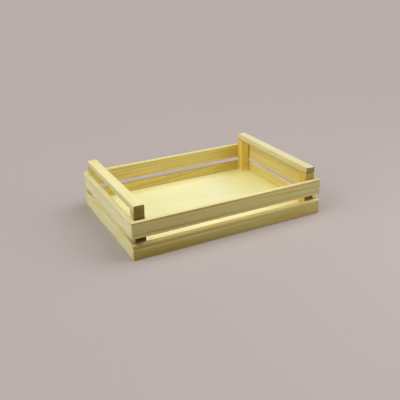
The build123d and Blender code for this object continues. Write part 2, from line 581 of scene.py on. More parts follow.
    def _saw_marks(self, wood: ShadedPiece) -> Socket:
        """Faint arcs across the grain, which come and go along the batten.

        Args:
            wood: the batten.

        Returns:
            How much of an arc there is, from 0 to 1.
        """
        wiring = wood.wiring
        hub = wiring.vector("SUBTRACT", wood.own, (self.saw_hub, 0.0, -self.saw_radius))
        radius = wiring.vector("LENGTH", wiring.vector("MULTIPLY", hub, FLAT))
        turns = wiring.math("DIVIDE", radius, self.saw_pitch)
        run = wiring.parts(wood.own)[0]
        turns = wiring.math("ADD", turns, wiring.math("DIVIDE", run, self.saw_pitch))
        sine = wiring.math("SINE", wiring.math("MULTIPLY", turns, math.tau))
        wave = wiring.math("MULTIPLY_ADD", sine, HALF, HALF)
        return wiring.math("MULTIPLY", wave, wood.patches(self.saw_noise, self.saw_span))

    def _end_grain(self, wiring: Wiring, along: GrainAlong) -> Socket:
        """How far the surface faces along the grain, as a sawn end does.

        Args:
            wiring: the material's wiring.
            along: the way that the grain runs.

        Returns:
            The share of end grain, from 0 to 1.
        """
        normal = wiring.node("ShaderNodeNewGeometry").outputs["Normal"]
        axis = along.turn() @ Vector((1.0, 0.0, 0.0))
        facing = wiring.math("ABSOLUTE", wiring.vector("DOT_PRODUCT", normal, tuple(axis)))
        return wiring.step(facing, *self.end_span)

    def _colour(self, wood: ShadedPiece, grain: Grain, late: Socket, fibre: Socket, hair: Socket) -> Socket:
        """The wood's colour from its rings, fibres, resin canals and slow changes of tone.

        Args:
            wood: the batten.
            grain: how it was sawn.
            late: the late wood, from 0 to 1.
            fibre: the coarser fibres, from 0 to 1.
            hair: the finer fibres, from 0 to 1.

        Returns:
            The colour.
        """
        wiring = wood.wiring
        depth = wiring.math("MULTIPLY", late, self.contrast * grain.figure)
        colour = wiring.mix(depth, self.early, self.late)
        colour = wiring.tinted(colour, self.warm, wood.patches(self.warm_noise, self.warm_span))
        hue = wood.patches(self.hue_noise, self.hue_span)
        colour = wiring.tinted(colour, wiring.mix(hue, self.olive, self.rosy))
        canals = wood.patches(self.canal_noise, self.canal_span)
        colour = wiring.mix(wiring.math("MULTIPLY", canals, self.canal_depth), colour, self.canal)
        streak = wiring.swing(fibre, self.fibre_depth, 1.0)
        streak = wiring.math("ADD", streak, wiring.swing(hair, self.hair_depth, 0.0))
        run = wiring.parts(wood.own)[0]
        streak = wiring.math("ADD", streak, wiring.math("MULTIPLY", run, grain.drift / wood.size.x))
        return wiring.tinted(wiring.tinted(colour, wiring.grey(streak)), grain.tone)


@dataclass(frozen=True)
class Plywood:
    """Sanded poplar plywood: a pale peeled face with soft wavy figure, and plies that show at the edges.
    Its fields are named as a softwood's are."""

    face: Colour = (0.832, 0.810, 0.450)
    figure: Colour = (0.732, 0.625, 0.321)
    core: Colour = (0.536, 0.384, 0.170)
    figure_noise: Noise = Noise((2.2, 7.0, 30.0), 21.4, 1.5)
    figure_waves: float = 9.0
    figure_wave: tuple[Pair, ...] = ((0.0, 0.0), (0.55, 0.25), (0.85, 1.0), (1.0, 0.0))
    figure_depth: float = 0.12
    fibre_noise: Noise = Noise((30.0, 700.0, 700.0), 4.2, 3.0, 0.6)
    fibre_depth: float = 0.16
    fleck_noise: Noise = Noise((160.0, 1500.0, 1500.0), 9.3, 1.0)
    fleck_span: Span = (0.62, 0.8)
    fleck_depth: float = 0.22
    plies: int = 3
    ply_blur: float = 0.1 * MM
    roughness: float = 0.5
    fibre_roughness: float = 0.16
    gloss: float = 0.35
    relief: float = 0.02 * MM
    seed: float = 22.0
    # Painted light: lighter towards the right end, with a painted yellow bounce off the wall there, and
    # lighter along the back edge, in the back left corner, along the front and in the front left corner,
    # where the walls shade the floor and light comes through the front gap. Also a faint bluish patch, and a
    # warmer patch by the back right post.
    marks: tuple[Mark, ...] = (
        Mark((0.5, 0.0, 0.0), (0.20, THROUGH, THROUGH), (1.15, 1.13, 0.92)),
        Mark((-0.1, 0.5, 0.0), (0.50, 0.14, THROUGH), (1.10, 1.09, 1.08)),
        Mark((-0.45, 0.35, 0.0), (0.16, 0.30, THROUGH), (1.14, 1.14, 1.16)),
        Mark((0.16, 0.1, 0.0), (0.08, 0.40, THROUGH), (1.0, 1.01, 1.09)),
        Mark((0.0, -0.5, 0.0), (THROUGH, 0.32, THROUGH), (1.06, 1.01, 0.98)),
        Mark((-0.44, -0.36, 0.0), (0.10, 0.10, THROUGH), (1.12, 1.10, 1.20)),
        Mark((0.42, 0.45, 0.0), (0.10, 0.12, THROUGH), (1.0, 0.92, 0.80)),
    )

    def material(self, name: str, low: Vector, high: Vector) -> bpy.types.Material:
        """The finish of a flat panel.

        Args:
            name: the material's name.
            low: the panel's lowest corner.
            high: its highest corner.

        Returns:
            The material.
        """
        made, wiring, surface = new_finish(name)
        place = wiring.place()
        waves = wiring.math("MULTIPLY", wiring.level(place, self.figure_noise), self.figure_waves)
        band = wiring.ramp(wiring.math("FRACT", waves), self.figure_wave, smooth=True)
        colour = wiring.mix(wiring.math("MULTIPLY", band, self.figure_depth), self.face, self.figure)
        fleck = wiring.patches(place, self.fleck_noise, self.fleck_span)
        colour = wiring.tinted(colour, self.figure, wiring.math("MULTIPLY", fleck, self.fleck_depth))
        fibre = wiring.level(place, self.fibre_noise)
        colour = wiring.tinted(colour, wiring.grey(wiring.swing(fibre, self.fibre_depth, 1.0)))
        own = wiring.vector("SUBTRACT", place, tuple((low + high) / 2))
        colour = ShadedPiece(wiring, own, high - low, self.seed).painted(self.marks, colour)
        colour = wiring.mix(self._core_ply(wiring, place, low.z, high.z), colour, self.core)
        wiring.feed(surface.inputs["Base Color"], colour)
        wiring.feed(surface.inputs["Roughness"], wiring.swing(fibre, self.fibre_roughness, self.roughness))
        surface.inputs["Specular IOR Level"].default_value = self.gloss
        emboss(wiring, surface, fibre, self.relief)
        return made

    def _core_ply(self, wiring: Wiring, place: Socket, low: float, high: float) -> Socket:
        """Where the middle ply shows, on the edges only.

        Args:
            wiring: the material's wiring.
            place: the shaded point.
            low: the height of the panel's underside.
            high: the height of its top.

        Returns:
            How much of the middle ply shows, from 0 to 1.
        """
        ply = (high - low) / self.plies
        height = wiring.parts(place)[2]
        above = wiring.step(height, low + ply, low + ply + self.ply_blur)
        below = wiring.step(height, high - ply + self.ply_blur, high - ply)
        return wiring.math("MULTIPLY", above, below)


@dataclass(frozen=True)
class BradSteel:
    """Flattened wire under a straw-coloured coat, a little dull on its head."""

    colour: Colour = (0.62, 0.50, 0.27)
    dull: Colour = (0.36, 0.27, 0.14)
    spot_noise: Noise = Noise((2200.0, 2200.0, 2200.0), 1.7, 3.0)
    spot_span: Span = (0.4, 0.65)
    roughness: float = 0.45
    spot_roughness: float = 0.3

    def material(self, name: str) -> bpy.types.Material:
        """The finish of every brad.

        Args:
            name: the material's name.

        Returns:
            The material.
        """
        made, wiring, surface = new_finish(name)
        spots = wiring.level(wiring.place(), self.spot_noise)
        coat = wiring.mix(wiring.step(spots, *self.spot_span), self.colour, self.dull)
        wiring.feed(surface.inputs["Base Color"], coat)
        wiring.feed(surface.inputs["Roughness"], wiring.swing(spots, self.spot_roughness, self.roughness))
        surface.inputs["Metallic"].default_value = 1.0
        return made


class GeometryTree(ABC):
    """The tree of a geometry modifier. Each kind has a name and inputs, and says what it makes of them."""

    name: str
    inputs: tuple[tuple[str, str], ...]

    def __init__(self) -> None:
        """Builds the tree: its inputs, what it makes, instances made real, and the material set."""
        self.tree = bpy.data.node_groups.new(self.name, "GeometryNodeTree")
        self.tree.is_modifier = True
        interface = self.tree.interface
        interface.new_socket(name="Geometry", in_out="OUTPUT", socket_type="NodeSocketGeometry")
        for label, kind in (("Geometry", "NodeSocketGeometry"), *self.inputs):
            interface.new_socket(name=label, in_out="INPUT", socket_type=kind)
        self.wiring = Wiring(self.tree)
        start = self.wiring.node("NodeGroupInput")
        self.given = {socket.name: socket for socket in start.outputs if socket.name}
        inputs = {"Geometry": self.geometry()}
        real = self.wiring.node("GeometryNodeRealizeInstances", inputs).outputs[0]
        inputs = {"Geometry": real, "Material": self.given["Material"]}
        dressed = self.wiring.node("GeometryNodeSetMaterial", inputs).outputs[0]
        self.wiring.node("NodeGroupOutput", {0: dressed})

    @abstractmethod
    def geometry(self) -> Socket:
        """What the tree makes, before its material is set."""

    def put_on(self, piece: bpy.types.Object, values: dict[str, object]) -> None:
        """Gives a piece a modifier with the tree. Its inputs are set by their sockets' identifiers.

        Args:
            piece: the piece.
            values: what each named input gets.
        """
        modifier = piece.modifiers.new(self.name, "NODES")
        modifier.node_group = self.tree
        for item in self.tree.interface.items_tree:
            if item.item_type == "SOCKET" and item.in_out == "INPUT" and item.name in values:
                modifier[item.identifier] = values[item.name]


class BattenTree(GeometryTree):
    """Makes a sawn batten: a rounded section along a line, with slow waves in its faces and small knocks
    along its edges. All of that goes inwards, so that the batten keeps within its size."""

    name = "sawn_batten"
    inputs = (
        ("Length", "NodeSocketFloat"),
        ("Thickness", "NodeSocketFloat"),
        ("Width", "NodeSocketFloat"),
        ("Edge radius", "NodeSocketFloat"),
        ("Wane radius", "NodeSocketFloat"),
        ("Wane corner", "NodeSocketInt"),
        ("Step", "NodeSocketFloat"),
        ("Wave depth", "NodeSocketFloat"),
        ("Knock depth", "NodeSocketFloat"),
        ("Seed", "NodeSocketFloat"),
        ("Centre", "NodeSocketVector"),
        ("Turn", "NodeSocketRotation"),
        ("Material", "NodeSocketMaterial"),
    )

    corner_cuts = 5
    edge_span: Span = (0.3 * MM, 2.2 * MM)
    wave_noise = Noise((9.0, 40.0, 40.0))
    knock_noise = Noise((70.0, 90.0, 90.0), 11.0)
    knock_span: Span = (0.52, 0.78)

    def geometry(self) -> Socket:
        """The worn batten at its place.

        Returns:
            The batten.
        """
        inputs = {
            "Geometry": self._worn(self._blank()), "Translation": self.given["Centre"],
            "Rotation": self.given["Turn"],
        }
        return self.wiring.node("GeometryNodeTransform", inputs).outputs[0]

    def _blank(self) -> Socket:
        """The straight batten along X, with closed ends.

        Returns:
            The batten.
        """
        wiring, given = self.wiring, self.given
        half = wiring.math("MULTIPLY", given["Length"], HALF)
        ends = [wiring.joined(wiring.math("MULTIPLY", half, sign)) for sign in (-1.0, 1.0)]
        run = wiring.node("GeometryNodeCurvePrimitiveLine", {"Start": ends[0], "End": ends[1]}).outputs[0]
        inputs = {"Curve": run, "Length": given["Step"]}
        run = wiring.node("GeometryNodeResampleCurve", inputs, mode="LENGTH").outputs[0]
        inputs = {"Curve": run, "Profile Curve": self._section(), "Fill Caps": True}
        return wiring.node("GeometryNodeCurveToMesh", inputs).outputs[0]

    def _section(self) -> Socket:
        """The batten's section: a rectangle with rounded corners, one of which can be waney, and with its
        sides cut up as finely as its length.

        Returns:
            The section, as a closed curve.
        """
        wiring, given = self.wiring, self.given
        inputs = {"Width": given["Thickness"], "Height": given["Width"]}
        section = wiring.node("GeometryNodeCurvePrimitiveQuadrilateral", inputs, mode="RECTANGLE").outputs[0]
        inputs = {2: wiring.node("GeometryNodeInputIndex").outputs[0], 3: given["Wane corner"]}
        waned = wiring.node("FunctionNodeCompare", inputs, data_type="INT", operation="EQUAL").outputs[0]
        inputs = {"Switch": waned, "False": given["Edge radius"], "True": given["Wane radius"]}
        radius = wiring.node("GeometryNodeSwitch", inputs, input_type="FLOAT").outputs[0]
        inputs = {"Curve": section, "Count": self.corner_cuts, "Radius": radius}
        section = wiring.node("GeometryNodeFilletCurve", inputs, mode="POLY").outputs[0]
        place = wiring.node("GeometryNodeInputPosition").outputs[0]
        index = wiring.node("GeometryNodeOffsetPointInCurve", {"Offset": 1}).outputs["Point Index"]
        inputs = {"Index": index, "Value": place}
        after = wiring.node("GeometryNodeFieldAtIndex", inputs, data_type="FLOAT_VECTOR").outputs[0]
        gap = wiring.vector("DISTANCE", place, after)
        cuts = wiring.math("FLOOR", wiring.math("DIVIDE", gap, given["Step"]))
        return wiring.node("GeometryNodeSubdivideCurve", {"Curve": section, "Cuts": cuts}).outputs[0]

    def _worn(self, blank: Socket) -> Socket:
        """The batten with waves in its faces and knocks along its edges.

        Args:
            blank: the batten without them.

        Returns:
            The worn batten.
        """
        wiring, given = self.wiring, self.given
        place = wiring.node("GeometryNodeInputPosition").outputs[0]
        _, across, deep = wiring.parts(place)
        gaps = [
            wiring.math("SUBTRACT", wiring.math("MULTIPLY", size, HALF), wiring.math("ABSOLUTE", part))
            for part, size in ((across, given["Thickness"]), (deep, given["Width"]))
        ]
        near_edge = wiring.fall(wiring.vector("LENGTH", wiring.joined(*gaps)), *self.edge_span)
        waves = wiring.level(place, self.wave_noise, given["Seed"])
        knocks = wiring.patches(place, self.knock_noise, self.knock_span, given["Seed"])
        knocks = wiring.math("MULTIPLY", knocks, near_edge)
        depth = wiring.math("MULTIPLY", waves, given["Wave depth"])
        depth = wiring.math("ADD", depth, wiring.math("MULTIPLY", knocks, given["Knock depth"]))
        normal = wiring.node("GeometryNodeInputNormal").outputs[0]
        offset = wiring.scaled(normal, wiring.math("MULTIPLY", depth, -1.0))
        return wiring.node("GeometryNodeSetPosition", {"Geometry": blank, "Offset": offset}).outputs[0]


class BradTree(GeometryTree):
    """Sets a brad at each point, driven along the point's arrow, with its head along the grain and a small
    turn of its own."""

    name = "driven_brads"
    inputs = (
        ("Brad", "NodeSocketObject"),
        ("Sway", "NodeSocketFloat"),
        ("Seed", "NodeSocketInt"),
        ("Material", "NodeSocketMaterial"),
    )

    def geometry(self) -> Socket:
        """A brad at every point.

        Returns:
            The brads, as instances.
        """
        wiring, given = self.wiring, self.given
        up = wiring.scaled(self._arrow("inward"), -1.0)
        turned = wiring.node("FunctionNodeAlignRotationToVector", {"Vector": up}, axis="Z")
        inputs = {"Rotation": turned.outputs[0], "Vector": self._arrow("spread")}
        turned = wiring.node("FunctionNodeAlignRotationToVector", inputs, axis="X", pivot_axis="Z")
        low = wiring.math("MULTIPLY", given["Sway"], -1.0)
        inputs = {2: low, 3: given["Sway"], "Seed": given["Seed"]}
        sway = wiring.node("FunctionNodeRandomValue", inputs, data_type="FLOAT")
        spin = wiring.joined(z=sway.outputs[1])
        spin = wiring.node("FunctionNodeEulerToRotation", {0: spin}).outputs[0]
        inputs = {"Rotation": turned.outputs[0], "Rotate By": spin}
        turned = wiring.node("FunctionNodeRotateRotation", inputs, rotation_space="LOCAL")
        brad = wiring.node("GeometryNodeObjectInfo", {"Object": given["Brad"]}, transform_space="ORIGINAL")
        inputs = {
            "Points": given["Geometry"], "Instance": brad.outputs["Geometry"], "Rotation": turned.outputs[0],
        }
        return wiring.node("GeometryNodeInstanceOnPoints", inputs).outputs[0]

    def _arrow(self, name: str) -> Socket:
        """A vector that each point carries."""
        read = self.wiring.node(
            "GeometryNodeInputNamedAttribute", {"Name": name}, data_type="FLOAT_VECTOR"
        )
        return read.outputs["Attribute"]


@dataclass(frozen=True)
class Brad:
    """One brad of the frame: the middle of its head's top, the way it was driven, the way its head spreads,
    and its sizes. Its neck ends neck_share times its head's height below the head's top."""

    head: Vector
    inward: Vector
    spread: Vector
    length: float
    head_width: float
    wire_width: float
    thickness: float
    neck_share: float = 1.6

    def side(self) -> Vector:
        """The direction across the brad's thickness."""
        return self.inward.cross(self.spread)

    def outline(self, swell: float, rise: float, head_height: float, point: float) -> list[Pair]:
        """The brad's outline, as distances along its spread and along the way it was driven.

        Args:
            swell: how much wider it is all round, as a hole is.
            rise: how far it stands out past the head.
            head_height: the height of the head.
            point: the length of the chisel point.

        Returns:
            Its corners in order.
        """
        head, shank = self.head_width / 2 + swell, self.wire_width / 2 + swell
        neck = head_height * self.neck_share
        right = [(head, -rise), (head, head_height), (shank, neck), (shank, self.length - point)]
        return right + [(0.0, self.length + swell)] + [(-x, z) for x, z in reversed(right)]


def prism(bm: bmesh.types.BMesh, corners: list[Vector], depth: Vector) -> None:
    """Adds a closed prism to a mesh.

    Args:
        bm: the mesh.
        corners: one end's corners in order.
        depth: the step from that end to the other.
    """
    near = [bm.verts.new(corner) for corner in corners]
    far = [bm.verts.new(corner + depth) for corner in corners]
    bm.faces.new(near)
    bm.faces.new(list(reversed(far)))
    count = len(near)
    for index in range(count):
        after = (index + 1) % count
        bm.faces.new((near[after], near[index], far[index], far[after]))


def mesh_object(name: str, bm: bmesh.types.BMesh) -> bpy.types.Object:
    """An object in the scene with a mesh whose faces point outwards.

    Args:
        name: the object's name.
        bm: the mesh, which is freed.

    Returns:
        The object.
    """
    bmesh.ops.recalc_face_normals(bm, faces=bm.faces)
    mesh = bpy.data.meshes.new(name)
    bm.to_mesh(mesh)
    bm.free()
    made = bpy.data.objects.new(name, mesh)
    bpy.context.scene.collection.objects.link(made)
    return made


def ease(piece: bpy.types.Object, width: float) -> None:
    """Eases a piece's crisp edges, as a modifier.

    Args:
        piece: the piece.
        width: how wide the eased edges are.
    """
    easing = piece.modifiers.new("easing", "BEVEL")
    easing.limit_method, easing.angle_limit = "ANGLE", CRISP_EDGE
    easing.width, easing.segments = width, EASING_STEPS


def baked(piece: bpy.types.Object, sharp_angle: float = math.radians(32)) -> bpy.types.Object:
    """Turns what a piece's modifiers give into its plain mesh, and takes the modifiers off.

    Args:
        piece: the object.
        sharp_angle: the angle past which an edge stays crisp.

    Returns:
        The same object.
    """
    graph = bpy.context.evaluated_depsgraph_get()
    mesh = bpy.data.meshes.new_from_object(piece.evaluated_get(graph))
    piece.modifiers.clear()
    old = piece.data
    piece.data = mesh
    mesh.name = piece.name
    bpy.data.meshes.remove(old)
    mesh.shade_smooth()
    mesh.set_sharp_from_angle(angle=sharp_angle)
    return piece


def islands(mesh: bpy.types.Mesh) -> list[list[Vector]]:
    """The separate solids of a mesh.

    Args:
        mesh: the mesh, as loose triangles.

    Returns:
        Each solid's corners, in no set order.
    """
    bm = bmesh.new()
    bm.from_mesh(mesh)
    bmesh.ops.remove_doubles(bm, verts=bm.verts, dist=SAME_PLACE)
    left = set(bm.verts)
    found = []
    while left:
        group, edge = [], [left.pop()]
        while edge:
            corner = edge.pop()
            group.append(corner.co.copy())
            for link in corner.link_edges:
                other = link.other_vert(corner)
                if other in left:
                    left.remove(other)
                    edge.append(other)
        found.append(group)
    bm.free()
    return found


def read_brad(corners: list[Vector]) -> Brad:
    """Works out a brad's place and sizes: it is longest the way that it was driven, and widest at its head.

    Args:
        corners: the brad's corners.

    Returns:
        The brad.
    """
    low = Vector(min(c[i] for c in corners) for i in range(3))
    high = Vector(max(c[i] for c in corners) for i in range(3))
    size, middle = high - low, (low + high) / 2
    long_axis = max(range(3), key=lambda i: size[i])
    spread_axis, thin_axis = sorted((i for i in range(3) if i != long_axis), key=lambda i: -size[i])
    reaches = [(c[long_axis], abs(c[spread_axis] - middle[spread_axis])) for c in corners]
    spreads = {
        end: max(reach for level, reach in reaches if abs(level - end) < SAME_LEVEL)
        for end in (low[long_axis], high[long_axis])
    }
    head_end = max(spreads, key=spreads.get)
    inward, spread, head = Vector((0, 0, 0)), Vector((0, 0, 0)), middle.copy()
    inward[long_axis] = 1.0 if head_end == low[long_axis] else -1.0
    spread[spread_axis] = 1.0
    head[long_axis] = head_end
    wire = min(reach for _, reach in reaches if reach > THINNEST_WIRE)
    return Brad(head, inward, spread, size[long_axis], size[spread_axis], 2 * wire, size[thin_axis])


@dataclass
class BradGroups:
    """Every brad of the crate, in the groups that the frame holds."""

    head_height: float = 0.7 * MM
    point: float = 1.6 * MM
    hole_room: float = 0.06 * MM
    hole_overrun: float = 1.2 * MM
    sway: float = math.radians(4)
    easing: float = 0.12 * MM
    finish: BradSteel = field(default_factory=BradSteel)

    def __post_init__(self) -> None:
        """Reads the brads from the frame."""
        names = [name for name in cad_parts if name.startswith("brads_")]
        self.groups = {name: self._read(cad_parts[name].data) for name in sorted(names)}

    def _read(self, mesh: bpy.types.Mesh) -> list[Brad]:
        """A group's brads in the order of their places, which is the same on every run."""
        return sorted((read_brad(corners) for corners in islands(mesh)), key=lambda brad: tuple(brad.head))

    def cutter(self, low: Vector, high: Vector) -> bpy.types.Object | None:
        """The holes of every brad that reaches into a box, as one object to cut with.

        Args:
            low: the box's lowest corner.
            high: its highest corner.

        Returns:
            The cutter, or None if no brad reaches the box.
        """
        bm = bmesh.new()
        for brad in (brad for group in self.groups.values() for brad in group):
            ends = (brad.head, brad.head + brad.inward * brad.length)
            if all(min(e[i] for e in ends) < high[i] and max(e[i] for e in ends) > low[i] for i in range(3)):
                self._add_hole(bm, brad)
        if not bm.verts:
            bm.free()
            return None
        made = mesh_object("brad_holes", bm)
        made.hide_render = True
        return made

    def _add_hole(self, bm: bmesh.types.BMesh, brad: Brad) -> None:
        """Adds one brad's hole, open past the surface that it was driven through.

        Args:
            bm: the mesh that gets it.
            brad: the brad.
        """
        depth = brad.side() * (brad.thickness + 2 * self.hole_room)
        start = brad.head - depth / 2
        outline = brad.outline(self.hole_room, self.hole_overrun, self.head_height, self.point)
        prism(bm, [start + brad.spread * x + brad.inward * z for x, z in outline], depth)

    def build(self) -> list[bpy.types.Object]:
        """Makes each group as one piece that stands for its node.

        Returns:
            The pieces.
        """
        tree = BradTree()
        material = self.finish.material("brad_steel")
        pieces = []
        for number, (name, brads) in enumerate(self.groups.items()):
            pattern = self._pattern(brads[0])
            piece = self._points(name, brads)
            tree.put_on(piece, {"Brad": pattern, "Sway": self.sway, "Seed": number, "Material": material})
            baked(piece)
            bpy.data.objects.remove(pattern)
            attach(piece, BODY)
            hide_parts(name)
            pieces.append(piece)
        return pieces

    def _pattern(self, brad: Brad) -> bpy.types.Object:
        """One brad with its head's top at the origin, pointing down, with eased edges.

        Args:
            brad: a brad with the sizes that it gets.

        Returns:
            The brad.
        """
        bm = bmesh.new()
        depth = Vector((0.0, brad.thickness, 0.0))
        outline = brad.outline(0.0, 0.0, self.head_height, self.point)
        prism(bm, [Vector((x, 0.0, -z)) - depth / 2 for x, z in outline], depth)
        bmesh.ops.bevel(
            bm, geom=bm.edges[:], offset=self.easing, segments=1, affect="EDGES", clamp_overlap=True
        )
        made = mesh_object("brad_pattern", bm)
        made.hide_render = True
        return made

    def _points(self, name: str, brads: list[Brad]) -> bpy.types.Object:
        """A point at each brad's head, with the ways that it is driven and spreads.

        Args:
            name: the group's name.
            brads: its brads.

        Returns:
            The points, as an object.
        """
        mesh = bpy.data.meshes.new(name)
        mesh.from_pydata([brad.head for brad in brads], [], [])
        for label in ("inward", "spread"):
            mesh.attributes.new(label, "FLOAT_VECTOR", "POINT")
            for item, brad in zip(mesh.attributes[label].data, brads):
                item.vector = getattr(brad, label)
        piece = bpy.data.objects.new(f"{name}_seen", mesh)
        bpy.context.scene.collection.objects.link(piece)
        return piece


@dataclass
class Workshop:
    """What every sub-assembly shares: the battens' tree, the brads, and the finishes."""

    brads: BradGroups
    batten_tree: BattenTree
    softwood: Softwood = field(default_factory=Softwood)
    plywood: Plywood = field(default_factory=Plywood)

    def drill(self, piece: bpy.types.Object, node: str) -> bpy.types.Object | None:
        """Gives a piece the holes of its brads, as a modifier.

        Args:
            piece: the piece, at its node's place.
            node: the node's name.

        Returns:
            The cutter, to be removed once the piece is baked, or None.
        """
        cutter = self.brads.cutter(*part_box(node))
        if cutter is not None:
            holes = piece.modifiers.new("brad_holes", "BOOLEAN")
            holes.operation, holes.solver, holes.object = "DIFFERENCE", "MANIFOLD", cutter
        return cutter

    def finished(self, piece: bpy.types.Object, node: str, slot: str) -> bpy.types.Object:
        """Drills and bakes a piece, and has it stand for its node.

        Args:
            piece: the piece, with its modifiers.
            node: the node that it stands for.
            slot: the record's material slot, which is not used.

        Returns:
            The finished piece.
        """
        cutter = self.drill(piece, node)
        baked(piece)
        if cutter is not None:
            bpy.data.objects.remove(cutter)
        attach(piece, BODY)
        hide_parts(node)
        return piece


class Corner(Enum):
    """A long edge of a batten, by its number in the section, as it lies on a slat of the front side."""

    NONE = -1
    OUTER_LOWER = 0
    INNER_LOWER = 1
    INNER_UPPER = 2
    OUTER_UPPER = 3


@dataclass(frozen=True)
class Wane:
    """The one long edge of a batten that the outside of its log left round."""

    corner: Corner = Corner.NONE
    radius: float = 5.0 * MM


@dataclass
class Battens(ABC):
    """A set of sawn battens that share their shape's details and each have a grain of their own."""

    workshop: Workshop
    along: GrainAlong = GrainAlong.Y
    slot: str = "slat_pine"
    edge_radius: float = 1.0 * MM
    step: float = 2.0 * MM
    wave_depth: float = 0.12 * MM
    knock_depth: float = 0.45 * MM
    end_easing: float = 0.35 * MM

    @abstractmethod
    def grains(self) -> dict[str, Grain]:
        """How each batten of the set was sawn, by its node."""

    def wane(self, node: str) -> Wane:
        """What the outside of the log left round on a batten: nothing, unless its set says so."""
        return Wane()

    def build(self) -> list[bpy.types.Object]:
        """Makes every batten of the set."""
        return [self._batten(node, grain) for node, grain in self.grains().items()]

    def _batten(self, node: str, grain: Grain) -> bpy.types.Object:
        """One batten at its node's place and size.

        Args:
            node: the node's name.
            grain: how the batten was sawn.

        Returns:
            The finished batten.
        """
        low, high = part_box(node)
        centre, size = (low + high) / 2, self.along.local_size(high - low)
        piece = mesh_object(f"{node}_seen", bmesh.new())
        wane = self.wane(node)
        values = {
            "Length": size.x, "Thickness": size.y, "Width": size.z, "Edge radius": self.edge_radius,
            "Wane radius": wane.radius, "Wane corner": wane.corner.value,
            "Step": self.step, "Wave depth": self.wave_depth, "Knock depth": self.knock_depth,
            "Seed": grain.seed, "Centre": centre, "Turn": Euler(self.along.value),
            "Material": self.workshop.softwood.material(node, centre, size, self.along, grain),
        }
        self.workshop.batten_tree.put_on(piece, values)
        ease(piece, self.end_easing)
        return self.workshop.finished(piece, node, self.slot)


@dataclass
class FloorPanel:
    """The plywood floor, notched round the posts."""

    workshop: Workshop
    node: str = "floor_panel"
    post: str = "post_back_right"
    room: float = 0.5 * MM
    corner_radius: float = 0.8 * MM
    corner_steps: int = 4
    easing: float = 0.2 * MM

    def build(self) -> list[bpy.types.Object]:
        """Makes the panel.

        Returns:
            The panel, as the only piece of a list.
        """
        low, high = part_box(self.node)
        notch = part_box(self.post)[0] - Vector((self.room, self.room, 0.0))
        quarter = [(high.x, notch.y), (notch.x, notch.y), (notch.x, high.y)]
        outline = quarter + [(-x, y) for x, y in reversed(quarter)]
        outline += [(-x, -y) for x, y in quarter] + [(x, -y) for x, y in reversed(quarter)]
        bm = bmesh.new()
        prism(bm, [Vector((x, y, low.z)) for x, y in outline], Vector((0.0, 0.0, high.z - low.z)))
        upright = [edge for edge in bm.edges if abs(edge.verts[0].co.z - edge.verts[1].co.z) > MM]
        bmesh.ops.bevel(
            bm, geom=upright, offset=self.corner_radius, segments=self.corner_steps, profile=HALF,
            affect="EDGES",
        )
        piece = mesh_object(f"{self.node}_seen", bm)
        piece.data.materials.append(self.workshop.plywood.material(self.node, low, high))
        ease(piece, self.easing)
        return [self.workshop.finished(piece, self.node, "floor_plywood")]


def hang(lamp: bpy.types.Light, towards: Triple, far_off: bool) -> None:
    """Puts a lamp into the scene, facing the crate.

    Args:
        lamp: the lamp.
        towards: where it stands, as seen from the crate.
        far_off: whether only that direction counts, and not the distance.
    """
    holder = bpy.data.objects.new(lamp.name, lamp)
    place = Vector((0.0, 0.0, 0.0)) if far_off else Vector(towards)
    turn = Vector(towards).to_track_quat("Z", "Y").to_matrix().to_4x4()
    holder.matrix_world = Matrix.Translation(place) @ turn
    bpy.context.scene.collection.objects.link(holder)


@dataclass(frozen=True)
class WallLamp:
    """A broad lamp, far off: where it stands as seen from the crate, how strong it is, and how wide."""

    towards: Triple
    strength: float
    spread: float = math.radians(57)

    def build(self, name: str) -> None:
        """Hangs the lamp.

        Args:
            name: the lamp's name.
        """
        lamp = bpy.data.lights.new(name, "SUN")
        lamp.energy, lamp.angle = self.strength, self.spread
        hang(lamp, self.towards, far_off=True)


@dataclass(frozen=True)
class TableLamp:
    """A small soft box close to the crate, whose light falls off along it."""

    place: Triple
    power: float
    size: float = 0.6

    def build(self, name: str) -> None:
        """Hangs the lamp.

        Args:
            name: the lamp's name.
        """
        lamp = bpy.data.lights.new(name, "AREA")
        lamp.shape, lamp.size, lamp.energy = "DISK", self.size, self.power
        hang(lamp, self.place, far_off=False)


